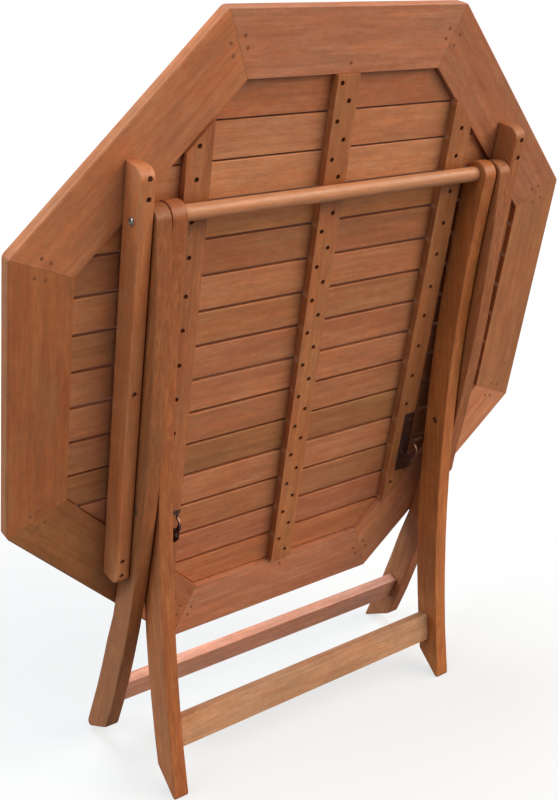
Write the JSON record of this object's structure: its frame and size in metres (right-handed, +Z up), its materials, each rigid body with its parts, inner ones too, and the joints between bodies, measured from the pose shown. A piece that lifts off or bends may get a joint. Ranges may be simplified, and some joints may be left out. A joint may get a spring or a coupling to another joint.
{
  "type": "folding garden table",
  "caption": "Octagonal slatted hardwood garden table on crossed folding legs, folded flat and standing upright on its own feet with the underside in view.",
  "frame": {"origin": "on the floor under the centre of the bounding box", "axes": "+X across the table parallel to the crossbar, +Y from the leg side (underside) through to the table's top surface, +Z up with the folded table standing on its four feet"},
  "size_m": [1.005, 0.2358, 1.1842],
  "materials": {
    "frame_wood": "oiled reddish-brown hardwood, smooth, slight sheen",
    "slat_wood": "oiled reddish-brown hardwood, smooth, slight sheen",
    "batten_wood": "oiled reddish-brown hardwood, smooth, slight sheen",
    "rail_wood": "oiled reddish-brown hardwood, smooth, slight sheen",
    "leg_wood": "oiled orange-brown hardwood, smooth, slight sheen",
    "stretcher_wood": "oiled orange-brown hardwood, smooth, slight sheen",
    "bar_wood": "oiled pale reddish-brown hardwood, turned smooth",
    "zinc_metal": "zinc-plated steel, dull",
    "dark_metal": "dark brown lacquered steel, semi-matt"
  },
  "bodies": {
    "top": {"frame_board_right": "frame_wood", "frame_board_upper_right": "frame_wood", "frame_board_upper": "frame_wood", "frame_board_upper_left": "frame_wood", "frame_board_left": "frame_wood", "frame_board_lower_left": "frame_wood", "frame_board_lower": "frame_wood", "frame_board_lower_right": "frame_wood", "slat_01": "slat_wood", "slat_02": "slat_wood", "slat_03": "slat_wood", "slat_04": "slat_wood", "slat_05": "slat_wood", "slat_06": "slat_wood", "slat_07": "slat_wood", "slat_08": "slat_wood", "slat_09": "slat_wood", "slat_10": "slat_wood", "slat_11": "slat_wood", "slat_12": "slat_wood", "slat_13": "slat_wood", "slat_14": "slat_wood", "slat_15": "slat_wood", "batten_middle": "batten_wood", "batten_right": "batten_wood", "batten_left": "batten_wood", "rail_right": "rail_wood", "rail_left": "rail_wood", "rail_bolt_right": "zinc_metal", "rail_washer_right": "zinc_metal", "rail_nut_right": "zinc_metal", "rail_bolt_left": "zinc_metal", "rail_washer_left": "zinc_metal", "rail_nut_left": "zinc_metal", "catch_plate_right": "dark_metal", "catch_pin_right": "zinc_metal", "catch_plate_left": "dark_metal", "catch_pin_left": "zinc_metal"},
    "outer_frame": {"outer_leg_right": "leg_wood", "scissor_sleeve_right": "zinc_metal", "outer_leg_left": "leg_wood", "scissor_sleeve_left": "zinc_metal", "stretcher_rear": "stretcher_wood"},
    "inner_frame": {"inner_leg_right": "leg_wood", "scissor_bolt_right": "zinc_metal", "scissor_washer_right": "zinc_metal", "inner_leg_left": "leg_wood", "scissor_bolt_left": "zinc_metal", "scissor_washer_left": "zinc_metal", "stretcher_front": "stretcher_wood"},
    "crossbar_slide": {"crossbar": "bar_wood"},
    "hook_right": {"catch_hook_right": "zinc_metal"},
    "hook_left": {"catch_hook_left": "zinc_metal"}
  },
  "joints": [
    {"name": "outer_legs_fold", "type": "hinge", "parent": "top", "child": "outer_frame", "pos_m": [0, -0.07942, 0.92613], "axis": [-1, 0, 0], "range_deg": [0, 52.55]},
    {"name": "crossbar_travel", "type": "slide", "parent": "top", "child": "crossbar_slide", "axis": [0, 0.1219, -0.9925], "range_m": [0, 0.495]},
    {"name": "inner_legs_fold", "type": "hinge", "parent": "crossbar_slide", "child": "inner_frame", "pos_m": [0, -0.07493, 0.92648], "axis": [-1, 0, 0], "range_deg": [0, 121.37]},
    {"name": "hook_right_turn", "type": "hinge", "parent": "top", "child": "hook_right", "pos_m": [0.24, -0.02347, 0.41715], "axis": [-1, 0, 0], "range_deg": [0, 26]},
    {"name": "hook_left_turn", "type": "hinge", "parent": "top", "child": "hook_left", "pos_m": [-0.2425, -0.02347, 0.41715], "axis": [-1, 0, 0], "range_deg": [0, 26]}
  ],
  "couplings": [
    {"joint": "crossbar_travel", "follows": "outer_legs_fold", "m_per_rad": 0.53948},
    {"joint": "inner_legs_fold", "follows": "outer_legs_fold", "ratio": 2.3091}
  ]
}
